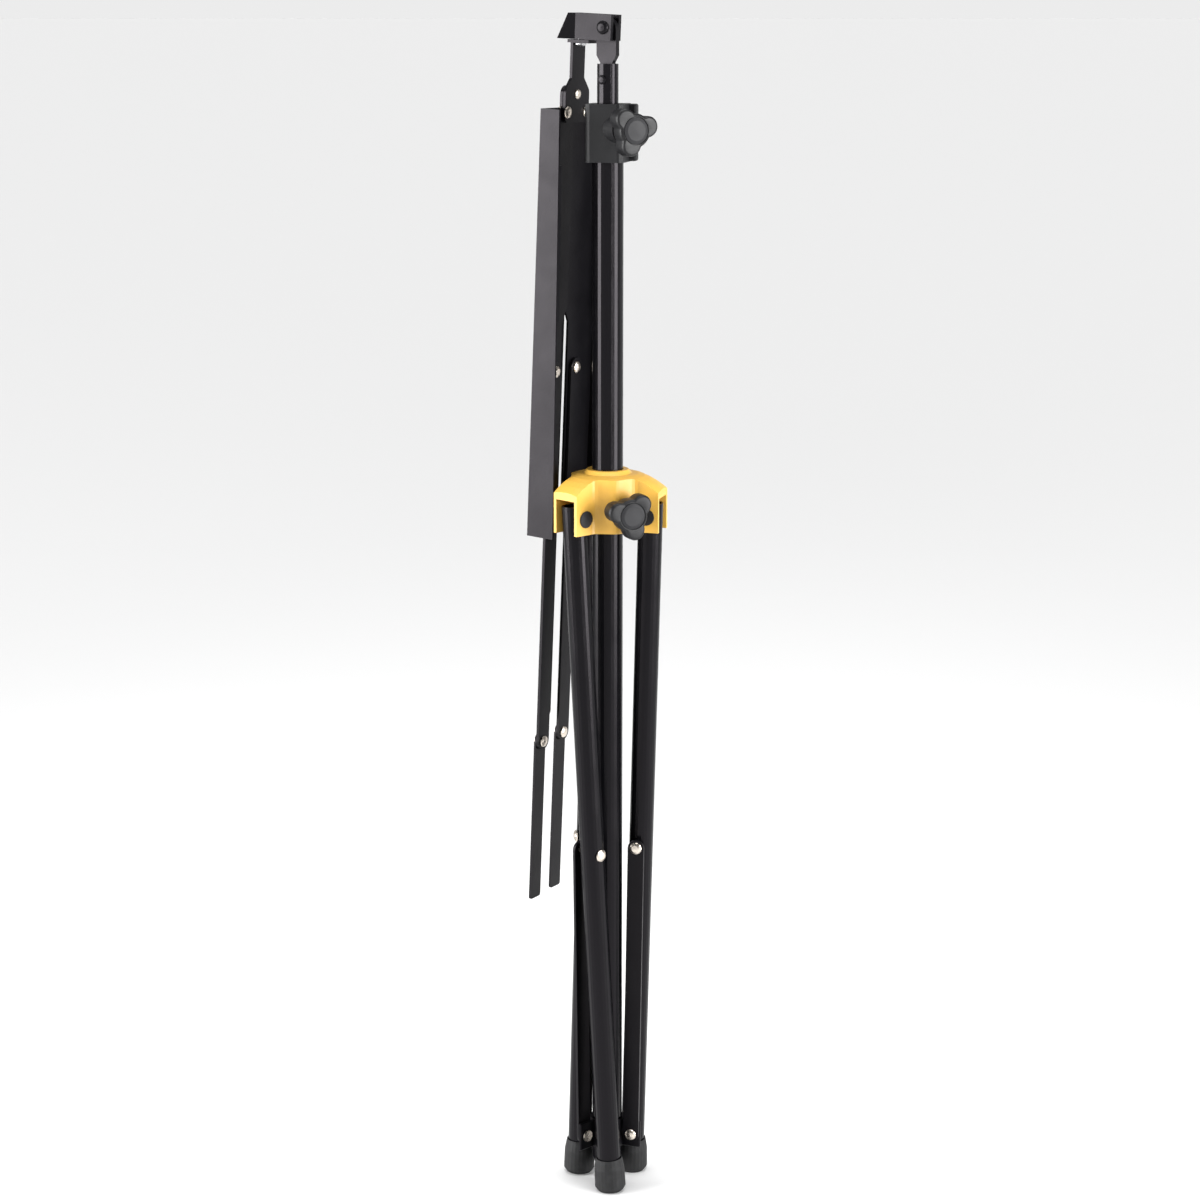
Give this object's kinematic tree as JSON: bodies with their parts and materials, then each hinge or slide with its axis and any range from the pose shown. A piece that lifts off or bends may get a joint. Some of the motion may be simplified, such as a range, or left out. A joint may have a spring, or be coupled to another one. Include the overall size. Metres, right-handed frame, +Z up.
{
  "type": "music stand",
  "caption": "Folding music stand, folded upright: telescopic mast with a clamping collar, sliding leg hub, hinged tubular legs with braces, and a folding strip desk.",
  "frame": {"origin": "floor level under the centre of the folded stand's bounding box", "axes": "+Z up along the mast; -Y is the side seen from the front, with +X to its right"},
  "size_m": [0.0713, 0.0814, 0.6053],
  "materials": {
    "centre_bar": "black powder-coated steel",
    "centre_bar_end_rivet": "nickel-plated steel",
    "centre_bar_rivet": "nickel-plated steel",
    "centre_bar_spacer": "zinc-plated steel",
    "collar": "black moulded plastic, fine grain",
    "collar_knob": "black moulded plastic, fine grain",
    "collar_knob_cap": "dark grey moulded plastic",
    "collar_knob_screw": "zinc-plated steel",
    "desk_bracket": "black powder-coated steel",
    "foot_bracket": "black powder-coated steel",
    "front_brace": "black powder-coated steel",
    "front_brace_rivet": "nickel-plated steel",
    "front_bracket_rivet": "nickel-plated steel",
    "front_foot": "black rubber",
    "front_hub_pin": "dark grey moulded plastic",
    "front_leg": "black powder-coated steel",
    "front_leg_rivet": "nickel-plated steel",
    "head_screw": "zinc-plated steel",
    "hub_knob": "black moulded plastic, fine grain",
    "hub_knob_cap": "dark grey moulded plastic",
    "hub_knob_screw": "zinc-plated steel",
    "inner_tube": "black powder-coated steel",
    "left_arm": "black powder-coated steel",
    "left_arm_rivet": "nickel-plated steel",
    "left_bar": "black powder-coated steel",
    "left_bar_rivet": "nickel-plated steel",
    "left_ledge": "black powder-coated steel",
    "left_ledge_rivet": "nickel-plated steel",
    "leg_hub": "yellow moulded plastic",
    "mast_end_plug": "black moulded plastic, fine grain",
    "mast_tongue": "black powder-coated steel",
    "mast_tongue_rivet": "black-coated steel",
    "outer_tube": "black powder-coated steel",
    "rear_brace": "black powder-coated steel",
    "rear_brace_rivet": "nickel-plated steel",
    "rear_bracket_rivet": "nickel-plated steel",
    "rear_foot": "black rubber",
    "rear_hub_pin": "dark grey moulded plastic",
    "rear_leg": "black powder-coated steel",
    "rear_leg_rivet": "nickel-plated steel",
    "right_arm": "black powder-coated steel",
    "right_arm_rivet": "nickel-plated steel",
    "right_bar": "black powder-coated steel",
    "right_bar_rivet": "nickel-plated steel",
    "right_brace": "black powder-coated steel",
    "right_brace_rivet": "nickel-plated steel",
    "right_bracket_rivet": "nickel-plated steel",
    "right_foot": "black rubber",
    "right_hub_pin": "dark grey moulded plastic",
    "right_ledge": "black powder-coated steel",
    "right_ledge_rivet": "nickel-plated steel",
    "right_leg": "black powder-coated steel",
    "right_leg_rivet": "nickel-plated steel",
    "tilt_bolt": "black-coated steel",
    "tilt_head": "black powder-coated steel",
    "tube_bush": "black moulded plastic, fine grain"
  },
  "bodies": {
    "mast": {"outer_tube": "outer_tube", "tube_bush": "tube_bush", "mast_end_plug": "mast_end_plug", "collar": "collar", "foot_bracket": "foot_bracket", "front_bracket_rivet": "front_bracket_rivet", "right_bracket_rivet": "right_bracket_rivet", "rear_bracket_rivet": "rear_bracket_rivet"},
    "collar_knob": {"collar_knob": "collar_knob", "collar_knob_cap": "collar_knob_cap", "collar_knob_screw": "collar_knob_screw"},
    "inner_tube": {"inner_tube": "inner_tube", "mast_tongue": "mast_tongue", "mast_tongue_rivet": "mast_tongue_rivet", "tilt_bolt": "tilt_bolt"},
    "desk": {"tilt_head": "tilt_head", "desk_bracket": "desk_bracket", "left_ledge_rivet": "left_ledge_rivet", "right_ledge_rivet": "right_ledge_rivet", "centre_bar": "centre_bar", "centre_bar_spacer": "centre_bar_spacer", "centre_bar_rivet": "centre_bar_rivet", "centre_bar_end_rivet": "centre_bar_end_rivet", "head_screw": "head_screw"},
    "hub": {"leg_hub": "leg_hub", "front_hub_pin": "front_hub_pin", "right_hub_pin": "right_hub_pin", "rear_hub_pin": "rear_hub_pin"},
    "hub_knob": {"hub_knob": "hub_knob", "hub_knob_cap": "hub_knob_cap", "hub_knob_screw": "hub_knob_screw"},
    "left_ledge": {"left_ledge": "left_ledge", "left_bar_rivet": "left_bar_rivet"},
    "left_bar": {"left_bar": "left_bar", "left_arm_rivet": "left_arm_rivet"},
    "left_arm": {"left_arm": "left_arm"},
    "right_ledge": {"right_ledge": "right_ledge", "right_bar_rivet": "right_bar_rivet"},
    "right_bar": {"right_bar": "right_bar", "right_arm_rivet": "right_arm_rivet"},
    "right_arm": {"right_arm": "right_arm"},
    "front_leg": {"front_leg": "front_leg", "front_foot": "front_foot", "front_leg_rivet": "front_leg_rivet"},
    "front_brace": {"front_brace": "front_brace", "front_brace_rivet": "front_brace_rivet"},
    "right_leg": {"right_leg": "right_leg", "right_foot": "right_foot", "right_leg_rivet": "right_leg_rivet"},
    "right_brace": {"right_brace": "right_brace", "right_brace_rivet": "right_brace_rivet"},
    "rear_leg": {"rear_leg": "rear_leg", "rear_foot": "rear_foot", "rear_leg_rivet": "rear_leg_rivet"},
    "rear_brace": {"rear_brace": "rear_brace", "rear_brace_rivet": "rear_brace_rivet"}
  },
  "joints": [
    {"name": "inner_tube_slide", "type": "slide", "parent": "mast", "child": "inner_tube", "axis": [0, 0, 1], "range_m": [0, 0.25]},
    {"name": "desk_tilt", "type": "hinge", "parent": "inner_tube", "child": "desk", "pos_m": [0.00565, -0.00645, 0.5982], "axis": [0.5446, 0.8387, 0], "range_deg": [0, 175]},
    {"name": "collar_knob_turn", "type": "hinge", "parent": "mast", "child": "collar_knob", "pos_m": [0.00565, -0.00645, 0.55], "axis": [0.4695, -0.8829, 0], "continuous": true},
    {"name": "hub_slide", "type": "slide", "parent": "mast", "child": "hub", "axis": [0, 0, -1], "range_m": [0, 0.15]},
    {"name": "hub_knob_turn", "type": "hinge", "parent": "hub", "child": "hub_knob", "pos_m": [0.00565, -0.00645, 0.363], "axis": [0.3907, -0.9205, 0], "continuous": true},
    {"name": "left_ledge_swing", "type": "hinge", "parent": "desk", "child": "left_ledge", "pos_m": [0.00254, -0.00777, 0.55654], "axis": [-0.8378, 0.5441, 0.0454], "range_deg": [0, 90]},
    {"name": "left_bar_parallel", "type": "hinge", "parent": "left_ledge", "child": "left_bar", "pos_m": [-0.00349, -0.00636, 0.42838], "axis": [-0.8378, 0.5441, 0.0454], "range_deg": [-90, 0]},
    {"name": "left_arm_swing", "type": "hinge", "parent": "left_bar", "child": "left_arm", "pos_m": [-0.01086, -0.00157, 0.23487], "axis": [-0.8378, 0.5441, 0.0454], "range_deg": [0, 120]},
    {"name": "right_ledge_swing", "type": "hinge", "parent": "desk", "child": "right_ledge", "pos_m": [0.01158, 0.00615, 0.55654], "axis": [0.8378, -0.5441, -0.0454], "range_deg": [0, 90]},
    {"name": "right_bar_parallel", "type": "hinge", "parent": "right_ledge", "child": "right_bar", "pos_m": [0.00784, 0.01108, 0.42838], "axis": [0.8378, -0.5441, -0.0454], "range_deg": [-90, 0]},
    {"name": "right_arm_swing", "type": "hinge", "parent": "right_bar", "child": "right_arm", "pos_m": [0.00047, 0.01587, 0.23487], "axis": [0.8378, -0.5441, -0.0454], "range_deg": [0, 120]},
    {"name": "front_leg_spread", "type": "hinge", "parent": "hub", "child": "front_leg", "pos_m": [-0.01081, -0.02179, 0.36], "axis": [-0.682, 0.7314, 0], "range_deg": [0, 50.74]},
    {"name": "front_brace_swing", "type": "hinge", "parent": "mast", "child": "front_brace", "pos_m": [-0.00459, -0.016, 0.0268], "axis": [0.682, -0.7314, 0], "range_deg": [0, 61.67]},
    {"name": "right_leg_spread", "type": "hinge", "parent": "hub", "child": "right_leg", "pos_m": [0.02717, -0.01303, 0.36], "axis": [-0.2924, -0.9563, 0], "range_deg": [0, 50.74]},
    {"name": "right_brace_swing", "type": "hinge", "parent": "mast", "child": "right_brace", "pos_m": [0.01904, -0.01054, 0.0268], "axis": [0.2924, 0.9563, 0], "range_deg": [0, 61.67]},
    {"name": "rear_leg_spread", "type": "hinge", "parent": "hub", "child": "rear_leg", "pos_m": [0.00059, 0.01547, 0.36], "axis": [0.9744, 0.225, 0], "range_deg": [0, 50.74]},
    {"name": "rear_brace_swing", "type": "hinge", "parent": "mast", "child": "rear_brace", "pos_m": [0.0025, 0.00719, 0.0268], "axis": [-0.9744, -0.225, 0], "range_deg": [0, 61.67]}
  ],
  "couplings": [
    {"joint": "left_bar_parallel", "follows": "left_ledge_swing", "ratio": -1},
    {"joint": "right_bar_parallel", "follows": "right_ledge_swing", "ratio": -1},
    {"joint": "front_leg_spread", "follows": "hub_slide", "rad_per_m": 5.8971},
    {"joint": "front_brace_swing", "follows": "hub_slide", "rad_per_m": 7.1689},
    {"joint": "right_leg_spread", "follows": "hub_slide", "rad_per_m": 5.8971},
    {"joint": "right_brace_swing", "follows": "hub_slide", "rad_per_m": 7.1689},
    {"joint": "rear_leg_spread", "follows": "hub_slide", "rad_per_m": 5.8971},
    {"joint": "rear_brace_swing", "follows": "hub_slide", "rad_per_m": 7.1689}
  ]
}
